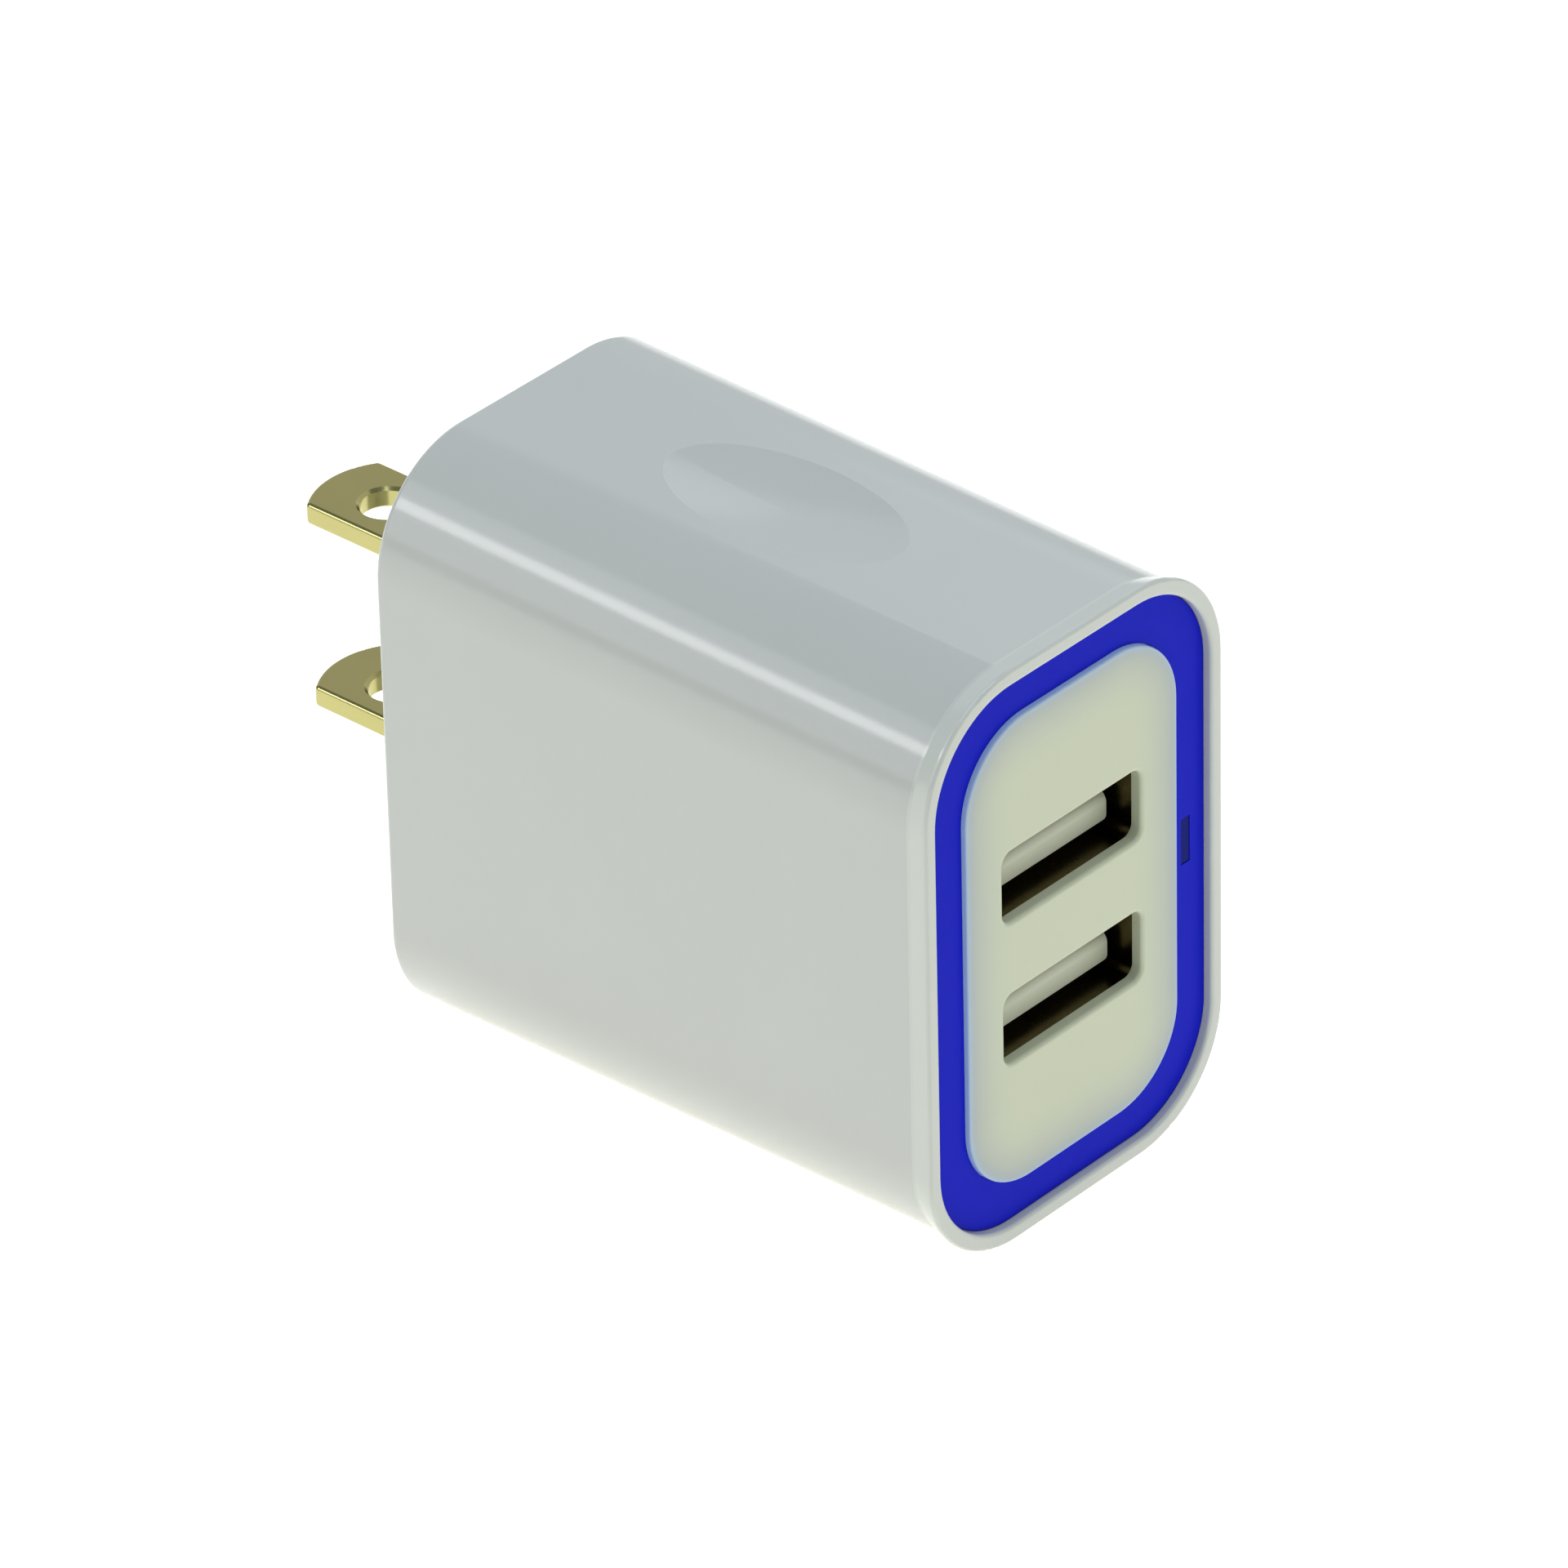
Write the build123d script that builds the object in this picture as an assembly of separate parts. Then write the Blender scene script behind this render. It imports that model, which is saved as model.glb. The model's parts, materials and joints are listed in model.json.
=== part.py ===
"""Two-port USB wall charger with a fixed two-blade plug, in millimetres.

Frame: +Z is up with the charger standing on its narrow side, +X is to the right when the
port face is looked at, the ports face -Y and the plug blades point along +Y. The origin is
under the middle of the whole charger, at the height of its lowest edge.

Inside this file a place is given as (x, depth, z): x from the middle plane, depth from the
front plane towards the blades, and z from the middle of the housing's height.
"""

from build123d import *
import os
from math import atan2, degrees

# Housing: a tube that grows a little from the front to the rear
BODY_DEPTH = 41.8
FRONT_WIDTH, FRONT_HEIGHT = 25.42, 37.66
REAR_WIDTH, REAR_HEIGHT = 25.76, 38.96
CORNER_RADIUS = 7.45
WALL = 1.7
REAR_EDGE_FILLET = 0.4
REAR_REBATE_DEPTH = 2.0
REAR_REBATE_WALL = 1.2

# Grip dishes, one on each narrow side
GRIP_HALF_LENGTH, GRIP_HALF_WIDTH = 8.5, 4.4
GRIP_SAG = 0.5
GRIP_DEPTH_PLACE = 21.5

# Front bezel: a thin lip that slopes back to the housing, and a skirt lapped inside it
LIP_WIDTH, LIP_HEIGHT, LIP_RADIUS = 25.75, 38.3, 7.35
LIP_END, SLOPE_END, BEZEL_END = 0.3, 1.4, 1.6
LIP_FRONT_FILLET, RECESS_EDGE_FILLET = 0.2, 0.25
RECESS_WIDTH, RECESS_HEIGHT, RECESS_RADIUS = 23.94, 36.26, 6.5
BEZEL_OPENING_WIDTH, BEZEL_OPENING_HEIGHT, BEZEL_OPENING_RADIUS = 23.3, 35.6, 6.3
SKIRT_WALL = 0.53
SKIRT_END = 3.9
REBATE_END = 4.0
FIT_GAP = 0.05

# Light ring and port panel
RING_FACE = 0.61
RING_BACK = 1.4
RING_OPENING_WIDTH, RING_OPENING_HEIGHT, RING_OPENING_RADIUS = 18.46, 31.26, 5.3
PANEL_FACE = 0.27
PANEL_EDGE_FILLET = 0.12

# USB ports
PORT_PITCH = 9.56
PORT_MIDDLE = -0.15
PORT_HEIGHTS = {"upper": PORT_MIDDLE + PORT_PITCH / 2, "lower": PORT_MIDDLE - PORT_PITCH / 2}
CUTOUT_WIDTH, CUTOUT_HEIGHT, CUTOUT_RADIUS = 12.1, 4.7, 0.75
CUTOUT_EDGE_FILLET = 0.28
SHELL_MOUTH = 1.06
SHELL_LENGTH = 14.0
SHELL_WIDTH, SHELL_HEIGHT, SHELL_RADIUS = 13.1, 5.7, 0.9
SHELL_SHEET = 0.3
TONGUE_FRONT = 2.55
TONGUE_HALF_WIDTH = 5.6
TONGUE_LOW, TONGUE_HIGH = -1.72, 0.12
TONGUE_NOSE_RADIUS, TONGUE_EDGE_RADIUS = 0.8, 0.25
INSULATOR_FRONT = 9.6
CONTACT_WIDTH = 1.0
CONTACT_SHEET = 0.2
CONTACT_OFFSETS = (3.5, 1.0, -1.0, -3.5)
CONTACT_STARTS = (3.5, 4.5, 4.5, 3.5)
CONTACT_TAIL_STEP = 0.9

# Plug blades
BLADE_PITCH = 12.7
BLADE_MIDDLE = -0.05
BLADE_HEIGHTS = {"upper": BLADE_MIDDLE + BLADE_PITCH / 2, "lower": BLADE_MIDDLE - BLADE_PITCH / 2}
BLADE_WIDTH, BLADE_THICKNESS = 6.3, 1.4
BLADE_LENGTH = 15.9
BLADE_TIP_RADIUS = 5.2
BLADE_TIP_CORNER = 0.35
BLADE_TAIL = 6.8
BLADE_SLOT_GAP = 0.03
BLADE_HOLE_RADIUS = 1.7
BLADE_HOLE_FROM_FACE = 11.2
BLADE_EDGE_FILLET = 0.25
BLADE_HOLE_CHAMFER = 0.2
CONTACT_STRIP_SHEET = 0.4

# Circuit board, standing beside the right wall of the housing
BOARD_FACE, BOARD_BACK = 7.7, 9.3
BOARD_FRONT, BOARD_REAR = 4.6, 39.2
BOARD_HALF_HEIGHT = 14.8
STAND_OFF = 0.6

FRONT_Y = -(BODY_DEPTH + BLADE_LENGTH) / 2
MID_Z = REAR_HEIGHT / 2
REAR_FACE = BODY_DEPTH
PAST = 1.0  # how far a cutter runs past the surface that it cuts


def place(x, depth, z):
    """The model point of a place in the housing."""
    return (x, FRONT_Y + depth, MID_Z + z)


def block(x, depth, z):
    """A box from its (low, high) ranges."""
    ranges = (x, depth, z)
    centre = [(low + high) / 2 for low, high in ranges]
    return Pos(*place(*centre)) * Box(*[high - low for low, high in ranges])


def rounded_section(width, height, radius, depth, x=0, z=0):
    """A rounded rectangle across the depth, facing the front."""
    plane = Plane(origin=place(x, depth, z), x_dir=(1, 0, 0), z_dir=(0, -1, 0))
    return plane * RectangleRounded(width, height, radius)


def rounded_block(width, height, radius, depth, x=0, z=0):
    """A prism along the depth, with a rounded-rectangle section centred on x and z."""
    section = rounded_section(width, height, radius, depth[1], x, z)
    return extrude(section, depth[1] - depth[0])


def cylinder_x(radius, x, depth, z):
    """A cylinder along X over the (low, high) range of x."""
    middle = Pos(*place((x[0] + x[1]) / 2, depth, z))
    return middle * Rot(0, 90, 0) * Cylinder(radius, x[1] - x[0])


def cylinder_y(radius, x, depth, z):
    """A cylinder along the depth over the (low, high) range of depth."""
    middle = Pos(*place(x, (depth[0] + depth[1]) / 2, z))
    return middle * Rot(90, 0, 0) * Cylinder(radius, depth[1] - depth[0])


def cylinder_z(radius, x, depth, z):
    """A cylinder along Z over the (low, high) range of z."""
    return Pos(*place(x, depth, (z[0] + z[1]) / 2)) * Cylinder(radius, z[1] - z[0])


def edges_at_depth(shape, depth):
    """The edges that lie wholly in the plane of one depth."""
    y = FRONT_Y + depth
    return shape.edges().filter_by_position(Axis.Y, y - 1e-4, y + 1e-4)


def housing_size(depth, wall=0):
    """Width and height of the housing at one depth, less a wall all round."""
    share = depth / BODY_DEPTH
    width = FRONT_WIDTH + (REAR_WIDTH - FRONT_WIDTH) * share
    height = FRONT_HEIGHT + (REAR_HEIGHT - FRONT_HEIGHT) * share
    return width - 2 * wall, height - 2 * wall


def drafted_block(depth, wall=0):
    """The housing's outline between two depths: flat drafted sides and round long edges."""
    (w0, h0), (w1, h1) = [housing_size(d, wall) for d in depth]
    y0, y1 = [FRONT_Y + d for d in depth]
    flat_plan = Polyline((-w0 / 2, y0), (w0 / 2, y0), (w1 / 2, y1), (-w1 / 2, y1), close=True)
    side_plane = Plane(origin=(0, 0, MID_Z), x_dir=(0, 1, 0), z_dir=(1, 0, 0))
    side_view = Polyline((y0, -h0 / 2), (y1, -h1 / 2), (y1, h1 / 2), (y0, h0 / 2), close=True)
    tall = extrude(Plane.XY * make_face(flat_plan), REAR_HEIGHT)
    wide = extrude(side_plane * make_face(side_view), REAR_WIDTH, both=True)
    solid = tall & wide
    long_edges = solid.edges().filter_by(lambda e: abs(e.center().Y - (y0 + y1) / 2) < PAST)
    return fillet(long_edges, CORNER_RADIUS - wall)


def grip_cutter(side):
    """A ring solid whose lowest patch sinks an oval dish in the top (1) or bottom (-1) side."""
    lean = degrees(atan2((REAR_HEIGHT - FRONT_HEIGHT) / 2, BODY_DEPTH))
    across = (GRIP_HALF_WIDTH**2 + GRIP_SAG**2) / (2 * GRIP_SAG)
    along = (GRIP_HALF_LENGTH**2 + GRIP_SAG**2) / (2 * GRIP_SAG)
    surface = housing_size(GRIP_DEPTH_PLACE)[1] / 2
    ring = Rot(0, 90, 0) * Torus(along - across, across)
    ring = Pos(0, 0, side * (along - GRIP_SAG)) * ring
    return Pos(*place(0, GRIP_DEPTH_PLACE, side * surface)) * Rot(side * lean, 0, 0) * ring


def board_rails():
    """Two pairs of ribs inside the housing that hold the board's long edges."""
    rails = []
    rail, overlap = 0.45, 0.7
    for side in (1, -1):
        ends = sorted((side * (BOARD_HALF_HEIGHT - overlap), side * REAR_HEIGHT / 2))
        for x in (BOARD_FACE - FIT_GAP - rail, BOARD_BACK + FIT_GAP):
            rails.append(block((x, x + rail), (BOARD_FRONT + PAST, BOARD_REAR), ends))
    return rails


def housing_shell():
    outer = drafted_block((BEZEL_END, REAR_FACE))
    rails = [outer & rail for rail in board_rails()]
    outer = fillet(edges_at_depth(outer, REAR_FACE), REAR_EDGE_FILLET)
    shell = outer - drafted_block((-PAST, REAR_FACE + PAST), WALL)
    shell += rails
    rebate_width = BEZEL_OPENING_WIDTH + 2 * (SKIRT_WALL + FIT_GAP)
    rebate_height = BEZEL_OPENING_HEIGHT + 2 * (SKIRT_WALL + FIT_GAP)
    rebate_radius = BEZEL_OPENING_RADIUS + SKIRT_WALL + FIT_GAP
    shell -= rounded_block(rebate_width, rebate_height, rebate_radius, (-PAST, REBATE_END))
    shell -= rear_plug(0, (REAR_FACE - REAR_REBATE_DEPTH, REAR_FACE + PAST))
    return shell - [grip_cutter(1), grip_cutter(-1)]


def rear_plug(gap, depth):
    """The outline of the rear cover's seat, smaller by a gap all round."""
    width, height = housing_size(REAR_FACE, REAR_REBATE_WALL + gap)
    return rounded_block(width, height, CORNER_RADIUS - REAR_REBATE_WALL - gap, depth)


def front_bezel():
    """Lip, slope and skirt in one frame, with a shallow recess for the light ring."""
    sections = [rounded_section(LIP_WIDTH, LIP_HEIGHT, LIP_RADIUS, d) for d in (0, LIP_END)]
    for depth in (SLOPE_END, BEZEL_END):
        sections.append(rounded_section(*housing_size(depth), CORNER_RADIUS, depth))
    lip = loft(sections, ruled=True)
    lip = fillet(edges_at_depth(lip, 0), LIP_FRONT_FILLET)
    skirt = rounded_block(
        BEZEL_OPENING_WIDTH + 2 * SKIRT_WALL,
        BEZEL_OPENING_HEIGHT + 2 * SKIRT_WALL,
        BEZEL_OPENING_RADIUS + SKIRT_WALL,
        (RING_BACK, SKIRT_END),
    )
    opening = rounded_block(
        BEZEL_OPENING_WIDTH, BEZEL_OPENING_HEIGHT, BEZEL_OPENING_RADIUS, (-PAST, SKIRT_END + PAST)
    )
    recess = rounded_block(RECESS_WIDTH, RECESS_HEIGHT, RECESS_RADIUS, (-PAST, RING_BACK))
    bezel = lip + skirt - opening - recess
    front_edges = edges_at_depth(bezel, 0)
    recess_edge = front_edges.filter_by(
        lambda e: abs(e.center().X) < RECESS_WIDTH / 2 + FIT_GAP
        and abs(e.center().Z - MID_Z) < RECESS_HEIGHT / 2 + FIT_GAP
    )
    return fillet(recess_edge, RECESS_EDGE_FILLET)


def loose_fit(width, height, radius, depth):
    """A rounded block that drops into an opening of the given size."""
    return rounded_block(width - 2 * FIT_GAP, height - 2 * FIT_GAP, radius - FIT_GAP, depth)


LED_X = (9.95, 10.63)
LED_MIDDLE, LED_HALF_HEIGHT = -0.15, 1.5
LED_FACE, LED_BACK = 0.65, 2.6
LED_LEAD_SHEET, LED_LEAD_HALF_GAP, LED_LEAD_WIDTH = 0.3, 0.6, 0.5


def led_slot(depth):
    """The window around the indicator lamp."""
    x = (LED_X[0] - FIT_GAP, LED_X[1] + FIT_GAP)
    half = LED_HALF_HEIGHT + FIT_GAP
    return block(x, depth, (LED_MIDDLE - half, LED_MIDDLE + half))


def light_ring():
    ring = loose_fit(RECESS_WIDTH, RECESS_HEIGHT, RECESS_RADIUS, (RING_FACE, RING_BACK))
    ring -= rounded_block(
        RING_OPENING_WIDTH, RING_OPENING_HEIGHT, RING_OPENING_RADIUS, (-PAST, RING_BACK + PAST)
    )
    return ring - led_slot((-PAST, RING_BACK + PAST))


def port_panel():
    boss = loose_fit(
        RING_OPENING_WIDTH, RING_OPENING_HEIGHT, RING_OPENING_RADIUS, (PANEL_FACE, RING_BACK)
    )
    for z in PORT_HEIGHTS.values():
        boss -= rounded_block(
            CUTOUT_WIDTH, CUTOUT_HEIGHT, CUTOUT_RADIUS, (-PAST, RING_BACK + PAST), z=z
        )
    face_edges = edges_at_depth(boss, PANEL_FACE)
    outline = face_edges.filter_by(lambda e: abs(e.center().X) > CUTOUT_WIDTH / 2 + PAST
                                   or abs(e.center().Z - MID_Z) > PORT_PITCH)
    boss = fillet(outline, PANEL_EDGE_FILLET)
    mouths = edges_at_depth(boss, PANEL_FACE).filter_by(
        lambda e: abs(e.center().X) < CUTOUT_WIDTH / 2 + PAST / 2
        and abs(e.center().Z - MID_Z) < PORT_PITCH
    )
    boss = fillet(mouths, CUTOUT_EDGE_FILLET)
    flange = loose_fit(
        BEZEL_OPENING_WIDTH, BEZEL_OPENING_HEIGHT, BEZEL_OPENING_RADIUS, (RING_BACK, SKIRT_END)
    )
    panel = boss + (flange - led_slot((RING_BACK - PAST, SKIRT_END + PAST)))
    for z in PORT_HEIGHTS.values():
        panel -= rounded_block(
            SHELL_WIDTH + 2 * FIT_GAP,
            SHELL_HEIGHT + 2 * FIT_GAP,
            SHELL_RADIUS + FIT_GAP,
            (SHELL_MOUTH, SKIRT_END + PAST),
            z=z,
        )
    return panel


def indicator_led():
    low, high = LED_MIDDLE - LED_HALF_HEIGHT, LED_MIDDLE + LED_HALF_HEIGHT
    lamp = block(LED_X, (LED_FACE, LED_BACK), (low, high))
    for side in (1, -1):
        z = sorted((side * LED_LEAD_HALF_GAP, side * (LED_LEAD_HALF_GAP + LED_LEAD_WIDTH)))
        run_end = BOARD_FRONT + 1.5
        lamp += block((LED_X[0], LED_X[0] + LED_LEAD_SHEET), (LED_BACK, run_end), z)
        lamp += block((BOARD_BACK, LED_X[0] + LED_LEAD_SHEET), (run_end, run_end + 1), z)
    return lamp


def usb_shell(z):
    """Folded sheet-metal tube around one receptacle, with spring windows and board legs."""
    depth = (SHELL_MOUTH, SHELL_MOUTH + SHELL_LENGTH)
    tube = rounded_block(SHELL_WIDTH, SHELL_HEIGHT, SHELL_RADIUS, depth, z=z)
    tube -= rounded_block(
        SHELL_WIDTH - 2 * SHELL_SHEET,
        SHELL_HEIGHT - 2 * SHELL_SHEET,
        SHELL_RADIUS - SHELL_SHEET,
        (depth[0] - PAST, depth[1] + PAST),
        z=z,
    )
    window_width, window_length, spring_width = 2.6, 5.4, 1.8
    window = (depth[0] + 2.6, depth[0] + 2.6 + window_length)
    for x in (-3.2, 3.2):
        half = window_width / 2
        tube -= block((x - half, x + half), window, (z - SHELL_HEIGHT, z + SHELL_HEIGHT))
        for side in (1, -1):
            top = z + side * SHELL_HEIGHT / 2
            sheet = sorted((top, top - side * SHELL_SHEET))
            spring = (window[0] + 0.5, window[1])
            tube += block((x - spring_width / 2, x + spring_width / 2), spring, sheet)
    leg_width, leg_start = 1.6, SHELL_WIDTH / 2 - SHELL_SHEET
    for start in (depth[0] + 5.2, depth[1] - 2.2):
        for side in (1, -1):
            low, high = sorted((z + side * 1.2, z + side * (1.2 + SHELL_SHEET)))
            tube += block((leg_start, BOARD_BACK + 0.7), (start, start + leg_width), (low, high))
    return tube


def usb_contacts(z):
    """Four spring strips lying on the tongue, each with a tail that turns to the board."""
    strips = []
    low = z + TONGUE_HIGH
    for i, (x, start) in enumerate(zip(CONTACT_OFFSETS, CONTACT_STARTS)):
        turn = SHELL_MOUTH + SHELL_LENGTH + 0.4 + i * CONTACT_TAIL_STEP
        side = (x - CONTACT_WIDTH / 2, x + CONTACT_WIDTH / 2)
        sheet = (low, low + CONTACT_SHEET)
        strip = block(side, (start, turn + CONTACT_TAIL_STEP / 2), sheet)
        strip += block((side[0], BOARD_BACK + 0.7), (turn, turn + CONTACT_TAIL_STEP / 2), sheet)
        strips.append(strip)
    return strips


def usb_insulator(z, contacts):
    """Moulded block that fills the rear of the receptacle and carries the tongue."""
    tongue = block(
        (-TONGUE_HALF_WIDTH, TONGUE_HALF_WIDTH),
        (TONGUE_FRONT, INSULATOR_FRONT),
        (z + TONGUE_LOW, z + TONGUE_HIGH),
    )
    nose_edge = edges_at_depth(tongue, TONGUE_FRONT).sort_by(Axis.Z)[-1]
    tongue = fillet(nose_edge, TONGUE_NOSE_RADIUS)
    tongue = fillet(tongue.edges().filter_by(Axis.Y).sort_by(Axis.Z)[:2], TONGUE_EDGE_RADIUS)
    filler = rounded_block(
        SHELL_WIDTH - 2 * SHELL_SHEET - FIT_GAP,
        SHELL_HEIGHT - 2 * SHELL_SHEET - FIT_GAP,
        SHELL_RADIUS - SHELL_SHEET,
        (INSULATOR_FRONT, SHELL_MOUTH + SHELL_LENGTH - 0.3),
        z=z,
    )
    return tongue + filler - contacts


def blade(z):
    """One flat plug blade: tail inside, round-nosed tongue outside, with a bore across it."""
    face = REAR_FACE
    tip = face + BLADE_LENGTH
    half = BLADE_WIDTH / 2
    sag = BLADE_TIP_RADIUS - (BLADE_TIP_RADIUS**2 - half**2) ** 0.5
    outline = Polyline(
        (half, tip - sag), (half, face - BLADE_TAIL), (-half, face - BLADE_TAIL), (-half, tip - sag)
    )
    nose = ThreePointArc((-half, tip - sag), (0, tip), (half, tip - sag))
    plane = Plane(origin=place(0, 0, z - BLADE_THICKNESS / 2))
    solid = extrude(plane * make_face(outline + nose), BLADE_THICKNESS)
    tip_corners = solid.edges().filter_by(Axis.Z).sort_by(Axis.Y)[-2:]
    solid = fillet(tip_corners, BLADE_TIP_CORNER)
    tail_y = FRONT_Y + face - BLADE_TAIL
    rims = solid.edges().filter_by(
        lambda e: abs(abs(e.center().Z - MID_Z - z) - BLADE_THICKNESS / 2) < 1e-4
        and e.center().Y > tail_y + PAST / 2
    )
    solid = fillet(rims, BLADE_EDGE_FILLET)
    hole = cylinder_z(
        BLADE_HOLE_RADIUS, 0, face + BLADE_HOLE_FROM_FACE, (z - BLADE_THICKNESS, z + BLADE_THICKNESS)
    )
    solid -= hole
    hole_rims = solid.edges().filter_by(GeomType.CIRCLE).filter_by(
        lambda e: abs(e.radius - BLADE_HOLE_RADIUS) < 1e-4
    )
    return chamfer(hole_rims, BLADE_HOLE_CHAMFER)


def rear_cover():
    """Welded end wall with a raised collar around each blade."""
    cover = rear_plug(FIT_GAP, (REAR_FACE - REAR_REBATE_DEPTH, REAR_FACE))
    gap = BLADE_SLOT_GAP
    for z in BLADE_HEIGHTS.values():
        inner_face = REAR_FACE - REAR_REBATE_DEPTH
        cover += rounded_block(BLADE_WIDTH + 3, BLADE_THICKNESS + 3, 1, (inner_face - 1.5, inner_face), z=z)
    for z in BLADE_HEIGHTS.values():
        half_width, half_height = BLADE_WIDTH / 2 + gap, BLADE_THICKNESS / 2 + gap
        slot_depth = (REAR_FACE - BLADE_TAIL, REAR_FACE + PAST)
        cover -= block((-half_width, half_width), slot_depth, (z - half_height, z + half_height))
    return cover


def blade_contact(z):
    """Brass strip from the inner face of a blade's tail to the board."""
    side = 1 if z > 0 else -1
    face = z - side * BLADE_THICKNESS / 2
    sheet = sorted((face, face - side * CONTACT_STRIP_SHEET))
    start = REAR_FACE - BLADE_TAIL + 0.3
    strip = block((-2.4, BOARD_FACE), (start, start + 2.6), sheet)
    return strip + block((BOARD_FACE, BOARD_BACK + 0.8), (start + 0.6, start + 2), sheet)


def electrolytic_capacitor(radius, length, depth, z):
    """A can standing on the board, crimped near its base, with two leads."""
    seat = BOARD_FACE - STAND_OFF
    can = cylinder_x(radius, (seat - length, seat), depth, z)
    can = fillet(can.edges().sort_by(Axis.X)[0], 0.5)
    crimp = Rot(0, 90, 0) * Torus(radius + 0.15, 0.45)
    can -= Pos(*place(seat - 1.6, depth, z)) * crimp
    for side in (1, -1):
        can += cylinder_x(0.3, (seat - PAST / 2, BOARD_BACK + 0.8), depth, z + side * radius * 0.4)
    return can


TRANSFORMER_DEPTH = (21.3, 34.3)
LEG_X, LEG_HALF_HEIGHT = (-0.8, 4.7), 2.0


def transformer_core():
    """Ferrite frame with a centre leg through the bobbin."""
    half_height, yoke, outer_leg = 6.4, 2.6, 1.7
    low, high = TRANSFORMER_DEPTH
    core = block(LEG_X, TRANSFORMER_DEPTH, (-half_height, half_height))
    for side in (1, -1):
        z = sorted((side * LEG_HALF_HEIGHT, side * (half_height - outer_leg)))
        core -= block((LEG_X[0] - PAST, LEG_X[1] + PAST), (low + yoke, high - yoke), z)
    return fillet(core.edges().filter_by(Axis.X).sort_by(Axis.Z)[:2], 0.4)


def around_leg(wall, depth):
    """A block around the core's centre leg, thicker than it by a wall on each side."""
    z = LEG_HALF_HEIGHT + wall
    return block((LEG_X[0] - wall, LEG_X[1] + wall), depth, (-z, z))


BOBBIN_DEPTH = (24.0, 31.6)
BOBBIN_WALL, FLANGE_WALL, WINDING_WALL = 0.5, 2.65, 2.4
FLANGE_SHEET = 0.6


def transformer_bobbin():
    """Spool on the centre leg, with two flanges and a row of pins into the board."""
    bobbin = around_leg(BOBBIN_WALL, BOBBIN_DEPTH)
    flanges = [
        (BOBBIN_DEPTH[0], BOBBIN_DEPTH[0] + FLANGE_SHEET),
        (BOBBIN_DEPTH[1] - FLANGE_SHEET, BOBBIN_DEPTH[1]),
    ]
    for flange in flanges:
        bobbin += around_leg(FLANGE_WALL, flange)
    bobbin -= around_leg(FIT_GAP / 2, (BOBBIN_DEPTH[0] - PAST, BOBBIN_DEPTH[1] + PAST))
    for depth in (BOBBIN_DEPTH[0] + 0.3, BOBBIN_DEPTH[1] - 0.3):
        for z in (-3.6, -1.2, 1.2, 3.6):
            bobbin += cylinder_x(0.3, (LEG_X[1] + FLANGE_WALL - 0.3, BOARD_BACK + 0.8), depth, z)
    return bobbin


def transformer_winding():
    """Taped coil between the bobbin's flanges."""
    depth = (BOBBIN_DEPTH[0] + FLANGE_SHEET, BOBBIN_DEPTH[1] - FLANGE_SHEET)
    coil = fillet(around_leg(WINDING_WALL, depth).edges().filter_by(Axis.Y), 1.2)
    return coil - around_leg(BOBBIN_WALL, (depth[0] - PAST, depth[1] + PAST))


CHOKE_DEPTH, CHOKE_Z = 33.6, 10.9
CHOKE_RADIUS, CHOKE_SPINDLE = 3.6, 1.5


def choke_core():
    """Ferrite drum standing on the board."""
    seat = BOARD_FACE - STAND_OFF
    spindle = cylinder_x(CHOKE_SPINDLE, (seat - 8, seat), CHOKE_DEPTH, CHOKE_Z)
    for start in (seat - 8, seat - 1.2):
        spindle += cylinder_x(CHOKE_RADIUS, (start, start + 1.2), CHOKE_DEPTH, CHOKE_Z)
    for side in (1, -1):
        lead_z = CHOKE_Z + side * CHOKE_RADIUS / 2
        spindle += cylinder_x(0.3, (seat - PAST / 2, BOARD_BACK + 0.8), CHOKE_DEPTH, lead_z)
    return spindle


def choke_winding():
    """Enamelled wire on the drum."""
    seat = BOARD_FACE - STAND_OFF
    x = (seat - 6.8, seat - 1.2)
    coil = cylinder_x(CHOKE_RADIUS - 0.4, x, CHOKE_DEPTH, CHOKE_Z)
    return coil - cylinder_x(CHOKE_SPINDLE, x, CHOKE_DEPTH, CHOKE_Z)


def fusible_resistor():
    """Axial resistor lying along the board, with bent leads."""
    x, z, radius, depth = BOARD_FACE - 2.4, -10.9, 1.6, (30.2, 37.2)
    body = cylinder_y(radius, x, depth, z)
    body = fillet(body.edges().filter_by(GeomType.CIRCLE), 0.5)
    for end, out in ((depth[0], -0.8), (depth[1], 0.8)):
        run = sorted((end - out / 2, end + out))
        body += cylinder_y(0.3, x, run, z)
        body += cylinder_x(0.35, (x - 0.35, BOARD_BACK + 0.8), end + out, z)
    return body


def safety_capacitor():
    """Flat disc capacitor standing between the transformer and the receptacles."""
    x, depth, radius = BOARD_FACE - 4.2, (19.0, 20.8), 3.4
    disc = cylinder_y(radius, x, depth, 0)
    disc = fillet(disc.edges().filter_by(GeomType.CIRCLE), 0.6)
    middle = (depth[0] + depth[1]) / 2
    for z in (-1.8, 1.8):
        disc += cylinder_x(0.3, (x + radius / 2, BOARD_BACK + 0.8), middle, z)
    return disc


def chip(x, depth, z, leads, lead_reach):
    """A moulded chip on the board with gull-wing leads along its two long sides."""
    body = block(x, depth, z)
    foot = (x[0], x[0] + 0.2) if x[0] == BOARD_BACK else (x[1] - 0.2, x[1])
    span = z[1] - z[0]
    for i in range(leads):
        middle = z[0] + span * (i + 0.5) / leads
        reach = (depth[0] - lead_reach, depth[1] + lead_reach)
        body += block(foot, reach, (middle - 0.2, middle + 0.2))
    return body


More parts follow.
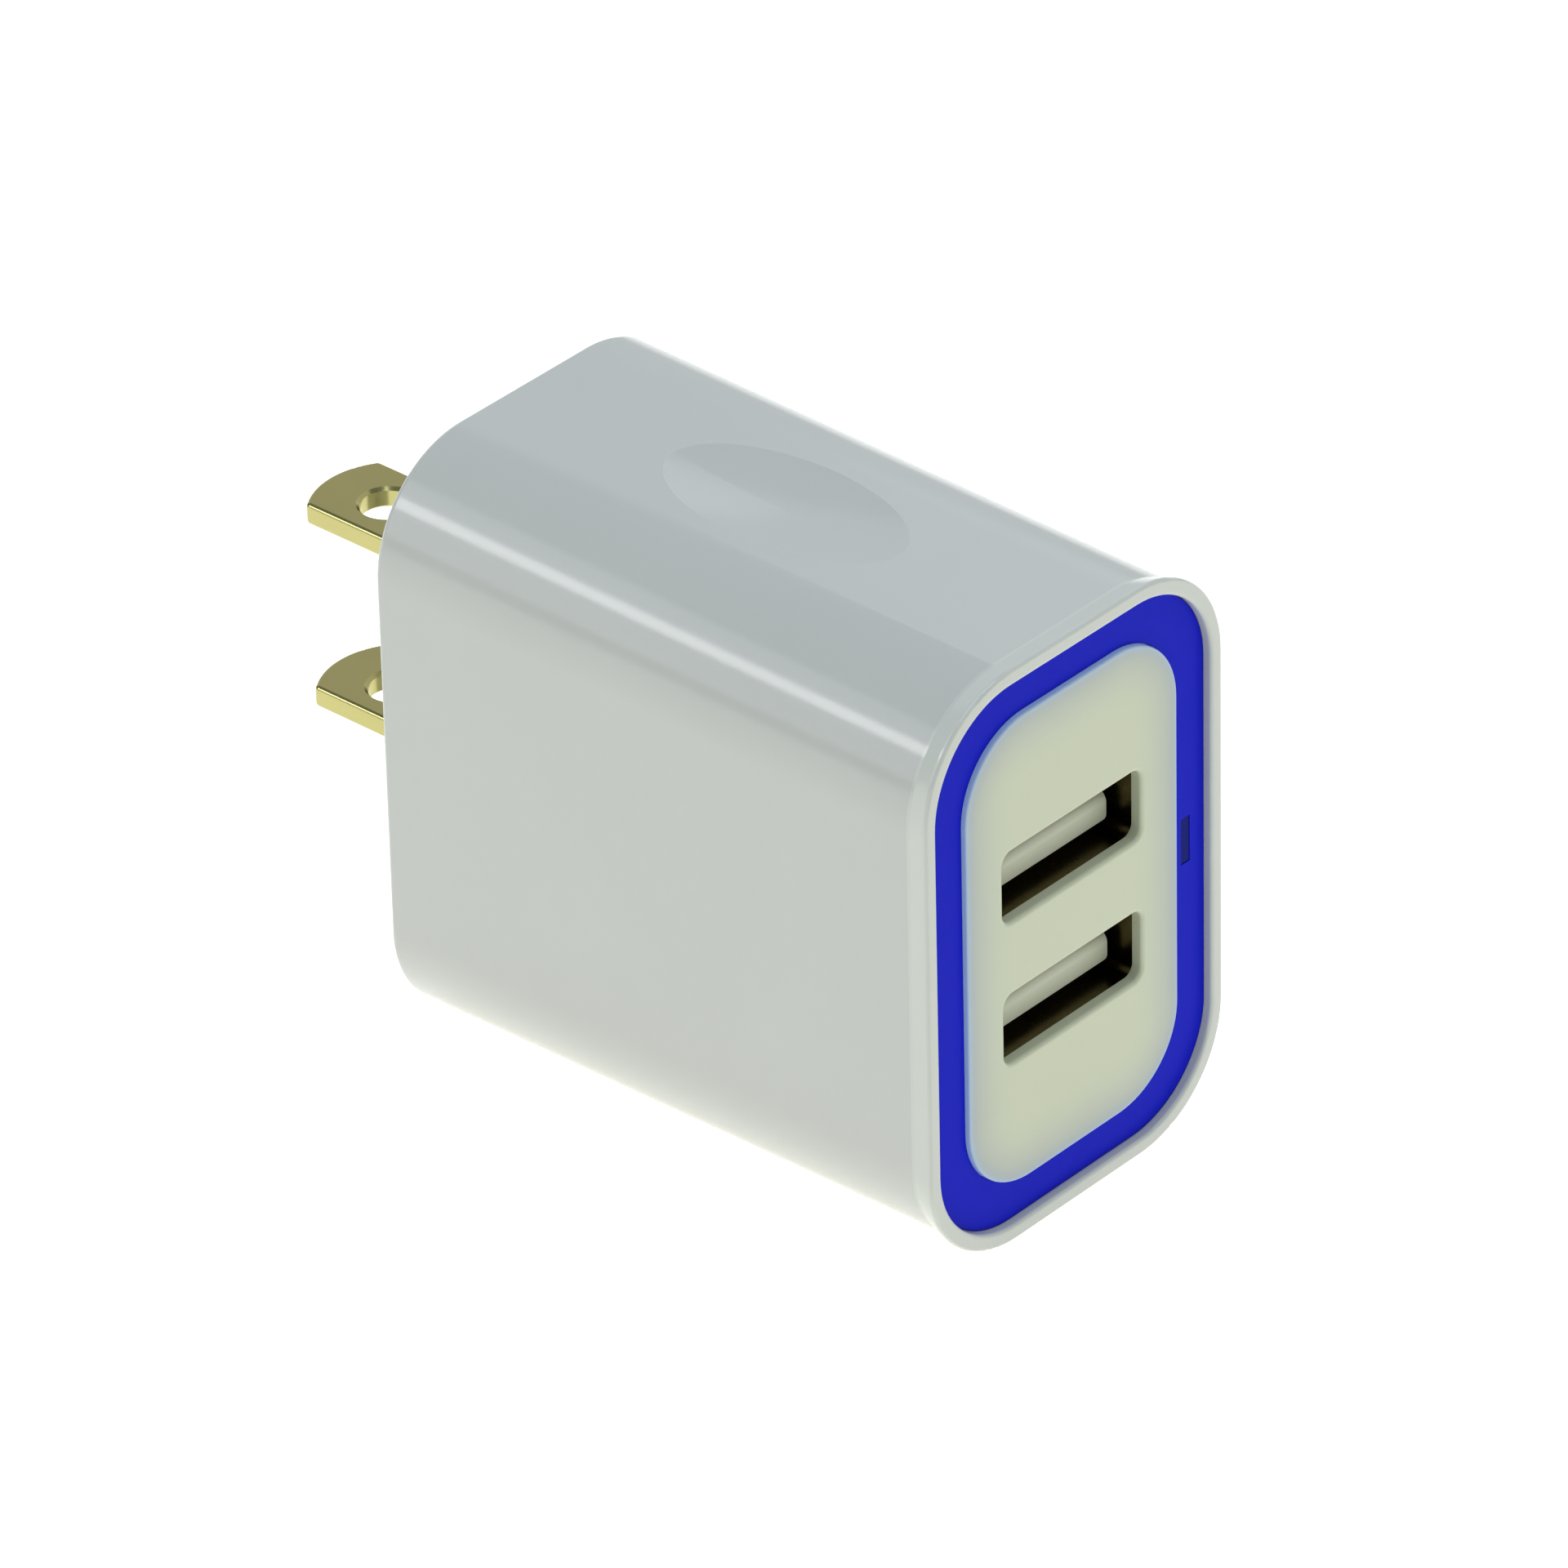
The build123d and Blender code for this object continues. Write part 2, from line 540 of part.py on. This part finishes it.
def chip_resistors():
    """Small chips on the solder side of the board."""
    length, width, height = 2.0, 1.25, 0.55
    spots = [(12 + 3 * i, -8.6) for i in range(4)] + [(26 + 3 * i, 9.0) for i in range(3)]
    return [
        block(
            (BOARD_BACK, BOARD_BACK + height),
            (depth - width / 2, depth + width / 2),
            (z - length / 2, z + length / 2),
        )
        for depth, z in spots
    ]


def circuit_board(through):
    """Board with a hole for everything that is soldered through it."""
    board = block(
        (BOARD_FACE, BOARD_BACK), (BOARD_FRONT, BOARD_REAR), (-BOARD_HALF_HEIGHT, BOARD_HALF_HEIGHT)
    )
    return board - through


def insulation_sheet():
    """Card between the solder joints and the housing."""
    return block((10.62, 10.82), (BOARD_FRONT + 4, BOARD_REAR - 1), (-12, 12))


def build():
    """Every node of the charger, by name."""
    nodes = {
        "housing_shell": housing_shell(),
        "front_bezel": front_bezel(),
        "light_ring": light_ring(),
        "port_panel": port_panel(),
        "rear_cover": rear_cover(),
        "indicator_led": indicator_led(),
        "insulation_sheet": insulation_sheet(),
        "transformer_core": transformer_core(),
        "transformer_bobbin": transformer_bobbin(),
        "transformer_winding": transformer_winding(),
        "choke_core": choke_core(),
        "choke_winding": choke_winding(),
        "fusible_resistor": fusible_resistor(),
        "safety_capacitor": safety_capacitor(),
        "bridge_rectifier": chip((5.2, BOARD_FACE), (35.4, 37.8), (-2.3, 2.3), 2, 0.8),
        "control_chip": chip((BOARD_BACK, 10.6), (19.6, 23), (3, 8), 4, 0.8),
        "output_diode": chip((BOARD_BACK, 10.5), (13.3, 16.9), (8, 12.4), 1, 0.8),
        "chip_resistors": chip_resistors(),
    }
    for name, z in PORT_HEIGHTS.items():
        contacts = usb_contacts(z)
        nodes[f"usb_shell_{name}"] = usb_shell(z)
        nodes[f"usb_contacts_{name}"] = contacts
        nodes[f"usb_insulator_{name}"] = usb_insulator(z, contacts)
    for name, z in BLADE_HEIGHTS.items():
        nodes[f"blade_{name}"] = blade(z)
        nodes[f"blade_contact_{name}"] = blade_contact(z)
    for name, side in (("upper", 1), ("lower", -1)):
        nodes[f"input_capacitor_{name}"] = electrolytic_capacitor(4.0, 12.5, 24.6, side * 10.7)
        nodes[f"output_capacitor_{name}"] = electrolytic_capacitor(3.15, 11.0, 12.0, side * 11.6)
    soldered = ("usb_shell", "usb_contacts", "blade_contact", "input_cap", "output_cap")
    soldered += ("transformer_bobbin", "choke_core", "fusible", "safety")
    through = []
    for name, shape in nodes.items():
        if name.startswith(soldered):
            through += shape if isinstance(shape, list) else [shape]
    nodes["circuit_board"] = circuit_board(through)
    return nodes


os.makedirs("parts", exist_ok=True)
for node, shape in build().items():
    solids = shape if isinstance(shape, list) else [shape]
    whole = Compound(children=[s for part in solids for s in part.solids()])
    export_step(whole, f"parts/{node}.step")
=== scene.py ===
"""Looks for the USB wall charger: materials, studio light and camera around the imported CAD."""

import bpy
import json
from math import cos, pi, radians, sin, tan
from mathutils import Matrix, Vector

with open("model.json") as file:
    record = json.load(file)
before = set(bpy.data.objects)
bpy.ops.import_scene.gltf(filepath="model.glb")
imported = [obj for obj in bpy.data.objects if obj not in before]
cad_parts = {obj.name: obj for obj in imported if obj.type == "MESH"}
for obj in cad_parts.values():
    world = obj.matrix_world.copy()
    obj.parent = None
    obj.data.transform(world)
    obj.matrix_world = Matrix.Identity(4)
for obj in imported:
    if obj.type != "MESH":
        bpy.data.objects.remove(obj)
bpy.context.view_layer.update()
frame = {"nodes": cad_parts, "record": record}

NODES = frame["nodes"]

# ---------------------------------------------------------------- node helpers


def new_material(name, **sockets):
    """A material with one Principled shader; the keyword values go on its own sockets."""
    material = bpy.data.materials.new(name)
    material.use_nodes = True
    shader = material.node_tree.nodes["Principled BSDF"]
    for key, value in sockets.items():
        shader.inputs[key.replace("_", " ")].default_value = value
    return material, material.node_tree, shader


def node(tree, kind, values=None, **settings):
    """A new node, with values for its inputs and settings for its own fields."""
    made = tree.nodes.new(kind)
    for key, value in settings.items():
        setattr(made, key, value)
    for key, value in (values or {}).items():
        made.inputs[key].default_value = value
    return made


def place_in_frame(tree, scale=(1, 1, 1)):
    """The point on the object in metres, stretched by a scale."""
    coordinates = node(tree, "ShaderNodeTexCoord")
    mapping = node(tree, "ShaderNodeMapping", {"Scale": scale})
    tree.links.new(coordinates.outputs["Object"], mapping.inputs["Vector"])
    return mapping.outputs["Vector"]


def noise(tree, vector, scale, detail=3, roughness=0.5):
    """A noise from 0 to 1; the scale counts features per unit of the vector."""
    values = {"Scale": scale, "Detail": detail, "Roughness": roughness}
    made = node(tree, "ShaderNodeTexNoise", values)
    tree.links.new(vector, made.inputs["Vector"])
    return made.outputs["Fac"]


def ramp(tree, factor, stops):
    """A colour ramp from (position, colour) pairs."""
    made = node(tree, "ShaderNodeValToRGB")
    elements = made.color_ramp.elements
    for i, (position, colour) in enumerate(stops):
        element = elements[i] if i < 2 else elements.new(position)
        element.position = position
        element.color = (*colour, 1)
    tree.links.new(factor, made.inputs["Fac"])
    return made.outputs["Color"]


def spread(tree, factor, low, high):
    """Maps a noise's middle range to low..high."""
    values = {"From Min": 0.2, "From Max": 0.8, "To Min": low, "To Max": high}
    made = node(tree, "ShaderNodeMapRange", values)
    tree.links.new(factor, made.inputs["Value"])
    return made.outputs["Result"]


def blend(tree, a, b, factor=1.0, kind="MIX"):
    """A blend of two colours; each value is a socket or a constant."""
    made = node(tree, "ShaderNodeMix", data_type="RGBA", blend_type=kind)
    first, second = [s for s in made.inputs if s.type == "RGBA"]
    for value, socket in ((a, first), (b, second), (factor, made.inputs["Factor"])):
        if isinstance(value, tuple):
            socket.default_value = (*value, 1)
        elif isinstance(value, float):
            socket.default_value = value
        else:
            tree.links.new(value, socket)
    return [s for s in made.outputs if s.type == "RGBA"][0]


def calc(tree, operation, a, b=0.0):
    """One step of arithmetic; a and b are each a socket or a number."""
    made = node(tree, "ShaderNodeMath", operation=operation)
    for i, value in enumerate((a, b)):
        if isinstance(value, (int, float)):
            made.inputs[i].default_value = value
        else:
            tree.links.new(value, made.inputs[i])
    return made.outputs[0]


def bump(tree, shader, height, strength, distance):
    """Fine relief on the surface; the distance is in metres."""
    made = node(tree, "ShaderNodeBump", {"Strength": strength, "Distance": distance})
    tree.links.new(height, made.inputs["Height"])
    tree.links.new(made.outputs["Normal"], shader.inputs["Normal"])


def shade(colour, share):
    """A darker copy of a colour."""
    return tuple(c * share for c in colour)


# ---------------------------------------------------------------- materials


CLOUD_SCALE, POLISH_SCALE, GRAIN_SCALE = 90, 420, 2600
CLOUD_SHADE = 0.975
GRAIN_STRENGTH, GRAIN_HEIGHT = 0.12, 0.00002


def moulded_plastic(name, colour, gloss, specular=0.5, extra=None):
    """Moulded plastic: faint cloudiness, fine grain in the surface and uneven polish."""
    material, tree, shader = new_material(name, Specular_IOR_Level=specular)
    point = place_in_frame(tree)
    cloud = spread(tree, noise(tree, point, CLOUD_SCALE, 4), 0, 1)
    base = blend(tree, shade(colour, CLOUD_SHADE), colour, cloud)
    if extra:
        base = extra(tree, base, shader)
    tree.links.new(base, shader.inputs["Base Color"])
    polish = spread(tree, noise(tree, point, POLISH_SCALE, 4), gloss * 0.9, gloss * 1.12)
    tree.links.new(polish, shader.inputs["Roughness"])
    grain = noise(tree, point, GRAIN_SCALE, 2)
    bump(tree, shader, grain, GRAIN_STRENGTH, GRAIN_HEIGHT)
    return material


STAIN_SCALE = 140
LINE_SHADE, STAIN_SHADE, STAIN_SHARE = 0.9, 0.8, 0.35
LINE_STRENGTH, LINE_HEIGHT = 0.15, 0.00003


def brushed_metal(name, colour, rough, stretch, scale=260):
    """Drawn sheet metal with fine lines along one direction."""
    material, tree, shader = new_material(name, Metallic=1.0)
    lines = noise(tree, place_in_frame(tree, stretch), scale, 6, 0.65)
    stains = noise(tree, place_in_frame(tree), STAIN_SCALE, 4)
    base = blend(tree, shade(colour, LINE_SHADE), colour, spread(tree, lines, 0, 1))
    base = blend(tree, base, shade(colour, STAIN_SHADE), spread(tree, stains, 0, STAIN_SHARE))
    tree.links.new(base, shader.inputs["Base Color"])
    tree.links.new(spread(tree, lines, rough * 0.8, rough * 1.3), shader.inputs["Roughness"])
    bump(tree, shader, lines, LINE_STRENGTH, LINE_HEIGHT)
    return material


PANEL_HALF = (9.18, 15.58)  # mm, half the port panel's width and height
PANEL_RADIUS = 5.25  # mm
BODY_MIDDLE_Z = 19.48  # mm
# how far the painted blue light and shade reach into the panel
PAINTED_LIGHT_REACH = 4.0  # mm
MM_PER_METRE = 1000


def past(tree, distance, start):
    """How far a distance runs past a start, or zero."""
    return calc(tree, "MAXIMUM", calc(tree, "SUBTRACT", distance, start), 0)


def panel_edge_painted_light(tree, base, shader):
    """Painted blue light and shade at the panel's edge, standing in for blue light from the ring
    leaking into it; both fade over a few millimetres.
    """
    split = node(tree, "ShaderNodeSeparateXYZ")
    tree.links.new(place_in_frame(tree, (MM_PER_METRE,) * 3), split.inputs[0])
    across = calc(tree, "ABSOLUTE", split.outputs["X"])
    along = calc(tree, "ABSOLUTE", calc(tree, "SUBTRACT", split.outputs["Z"], BODY_MIDDLE_Z))
    corner_x = past(tree, across, PANEL_HALF[0] - PANEL_RADIUS)
    corner_z = past(tree, along, PANEL_HALF[1] - PANEL_RADIUS)
    squares = calc(tree, "ADD", calc(tree, "POWER", corner_x, 2), calc(tree, "POWER", corner_z, 2))
    inward = calc(tree, "SUBTRACT", PANEL_RADIUS, calc(tree, "SQRT", squares))
    share = calc(tree, "DIVIDE", inward, PAINTED_LIGHT_REACH)
    # painted shade with a blue cast, darkest at the panel's edge
    painted_blue_shade = ramp(tree, share, [
        (0.0, (0.62, 0.76, 1.25)), (0.06, (0.67, 0.74, 1.08)), (0.175, (0.77, 0.79, 1.0)),
        (0.275, (0.82, 0.85, 0.99)), (0.4, (0.88, 0.89, 1.0)), (0.5, (0.91, 0.92, 1.0)),
        (0.75, (0.97, 0.98, 1.0)), (1.0, (1.0, 1.0, 1.0)),
    ])
    # painted blue light: a faint emission along the panel's edge
    painted_edge_emission = ramp(tree, share, [
        (0.0, (0.05, 0.085, 0.18)), (0.04, (0.015, 0.025, 0.045)), (0.1, (0.0, 0.0, 0.0)),
    ])
    tree.links.new(painted_edge_emission, shader.inputs["Emission Color"])
    shader.inputs["Emission Strength"].default_value = 1.0
    return blend(tree, base, painted_blue_shade, kind="MULTIPLY")


LOOKS = {}


def look(kind, name, *values, **settings):
    """Makes the material of one slot of the record."""
    LOOKS[name] = kind(name, *values, **settings)


look(moulded_plastic, "housing_plastic", (0.568, 0.57, 0.53), 0.13)
look(moulded_plastic, "bezel_plastic", (0.61, 0.624, 0.567), 0.13)
look(moulded_plastic, "ring_plastic", (0.009, 0.013, 0.53), 0.35, specular=0.03)
# the panel gets painted blue light and shade along its edge
look(moulded_plastic, "panel_plastic", (0.585, 0.61, 0.44), 0.3, extra=panel_edge_painted_light)
look(moulded_plastic, "lamp_resin", (0.004, 0.011, 0.17), 0.35, specular=0.03)
look(moulded_plastic, "insulator_plastic", (0.70, 0.72, 0.56), 0.4)
# the shell's dark brown is painted shade of the port's inside, far darker than tinned steel
look(brushed_metal, "steel_tinned", (0.11, 0.085, 0.035), 0.25, (1, 0.15, 1))
look(brushed_metal, "contact_gold", (0.75, 0.55, 0.2), 0.25, (1, 0.15, 1))
look(brushed_metal, "blade_brass", (0.53, 0.48, 0.195), 0.2, (1, 0.3, 1), 420)
look(brushed_metal, "contact_brass", (0.72, 0.55, 0.24), 0.3, (0.15, 1, 1))
look(brushed_metal, "copper_wire", (0.72, 0.33, 0.16), 0.3, (1, 1, 0.1))
look(moulded_plastic, "board_laminate", (0.02, 0.13, 0.04), 0.4)
look(moulded_plastic, "chip_resin", (0.015, 0.015, 0.017), 0.55)
look(moulded_plastic, "ferrite", (0.03, 0.03, 0.035), 0.6)
look(moulded_plastic, "bobbin_plastic", (0.012, 0.012, 0.012), 0.45)
look(moulded_plastic, "winding_tape", (0.65, 0.42, 0.03), 0.35)
look(moulded_plastic, "capacitor_sleeve", (0.015, 0.02, 0.05), 0.3)
look(moulded_plastic, "disc_ceramic", (0.03, 0.10, 0.42), 0.25)
look(moulded_plastic, "resistor_coat", (0.16, 0.24, 0.14), 0.5)
look(moulded_plastic, "sheet_fibre", (0.62, 0.57, 0.42), 0.8)

for part in frame["record"]["subparts"]:
    shown = NODES[part["node"]]
    shown.data.materials.clear()
    shown.data.materials.append(LOOKS[part["material_slot"]])

# ---------------------------------------------------------------- floor, light, world

CENTRE = Vector((0, -0.00795, BODY_MIDDLE_Z / MM_PER_METRE))
SPECKLE_SCALE = 60


def floor(radius=1.6, segments=96):
    """A round white sheet that glows a little, as a backlit table does."""
    mesh = bpy.data.meshes.new("floor")
    turns = [2 * pi * i / segments for i in range(segments)]
    rim = [(radius * cos(turn), radius * sin(turn), 0) for turn in turns]
    mesh.from_pydata(rim, [], [tuple(range(segments))])
    sheet = bpy.data.objects.new("floor", mesh)
    bpy.context.collection.objects.link(sheet)
    material, tree, shader = new_material(
        "floor", Roughness=0.9, Emission_Strength=0.75, Specular_IOR_Level=0.1
    )
    point = place_in_frame(tree)
    speckle = spread(tree, noise(tree, point, SPECKLE_SCALE, 3), 0, 1)
    paper = blend(tree, (0.79, 0.79, 0.76), (0.82, 0.82, 0.79), speckle)
    tree.links.new(paper, shader.inputs["Base Color"])
    reach = node(tree, "ShaderNodeVectorMath", operation="LENGTH")
    tree.links.new(point, reach.inputs[0])
    glow = ramp(tree, reach.outputs["Value"], [
        (0.0, (1.0, 0.985, 0.91)), (0.17, (1.0, 0.985, 0.91)),
        (0.4, (0.66, 0.66, 0.61)), (1.0, (0.6, 0.6, 0.56)),
    ])
    tree.links.new(glow, shader.inputs["Emission Color"])
    mesh.materials.append(material)


def softbox(name, bearing, elevation, half_wide, half_high, radiance, colour, distance=0.7):
    """A rectangular light seen from the object between the given angles, in degrees.
    The bearing is measured from +Y towards +X; the radiance is that of its surface."""
    light = bpy.data.lights.new(name, "AREA")
    light.shape = "RECTANGLE"
    light.size = 2 * distance * tan(radians(half_wide))
    light.size_y = 2 * distance * tan(radians(half_high))
    light.energy = radiance * pi * light.size * light.size_y
    light.color = colour
    lamp = bpy.data.objects.new(name, light)
    bearing, elevation = radians(bearing), radians(elevation)
    outward = Vector((sin(bearing) * cos(elevation), cos(bearing) * cos(elevation), sin(elevation)))
    lamp.location = CENTRE + outward * distance
    lamp.rotation_euler = outward.to_track_quat("Z", "Y").to_euler()
    lamp.visible_camera = False
    bpy.context.collection.objects.link(lamp)


floor()
COOL, PALE = (0.76, 0.87, 1.0), (0.92, 0.98, 1.0)
WHITE, WARM = (1.0, 1.0, 1.0), (1.0, 1.0, 0.86)
softbox("right_rear_panel", 48, 19.2, 38, 19.5, 0.4, WHITE)
softbox("left_rear_panel", -50, 27.5, 13, 20, 1.1, PALE)
softbox("streak_lamp", -49, 31.5, 12, 3.6, 5.4, WHITE, distance=0.65)
softbox("overhead", 0, 89, 24, 24, 2.55, COOL)
softbox("front_fill", 180, 25, 20, 20, 0.5, WARM)
softbox("right_front_panel", 108, 30, 48, 23, 0.5, WHITE)

world = bpy.data.worlds.new("world")
world.use_nodes = True
background = world.node_tree.nodes["Background"]
background.inputs["Color"].default_value = (0.86, 0.94, 1.0, 1)
background.inputs["Strength"].default_value = 0.2
bpy.context.scene.world = world

# ---------------------------------------------------------------- camera

BEARING, ELEVATION, ROLL = radians(-47.908), radians(32.644), radians(-1.367)
DISTANCE = 0.69754
SIDE_STEP, UP_STEP = 0.000936, -0.000391  # the housing's middle is a little off the camera's axis
FOCAL_PER_WIDTH = 7.72013  # focal length over the sensor's width

back = Vector((sin(BEARING) * cos(ELEVATION), -cos(BEARING) * cos(ELEVATION), sin(ELEVATION)))
right = Vector((cos(BEARING), sin(BEARING), 0))
up = back.cross(right)
rolled_right = right * cos(ROLL) + up * sin(ROLL)
rolled_up = up * cos(ROLL) - right * sin(ROLL)
spot = CENTRE - rolled_right * SIDE_STEP - rolled_up * UP_STEP + back * DISTANCE

lens = bpy.data.cameras.new("camera")
lens.sensor_width = 36
lens.lens = FOCAL_PER_WIDTH * lens.sensor_width
lens.clip_start = 0.01
camera = bpy.data.objects.new("camera", lens)
turn = Matrix((rolled_right, rolled_up, back)).transposed()
camera.matrix_world = Matrix.Translation(spot) @ turn.to_4x4()
bpy.context.collection.objects.link(camera)
bpy.context.scene.camera = camera
bpy.context.scene.view_settings.view_transform = "Standard"
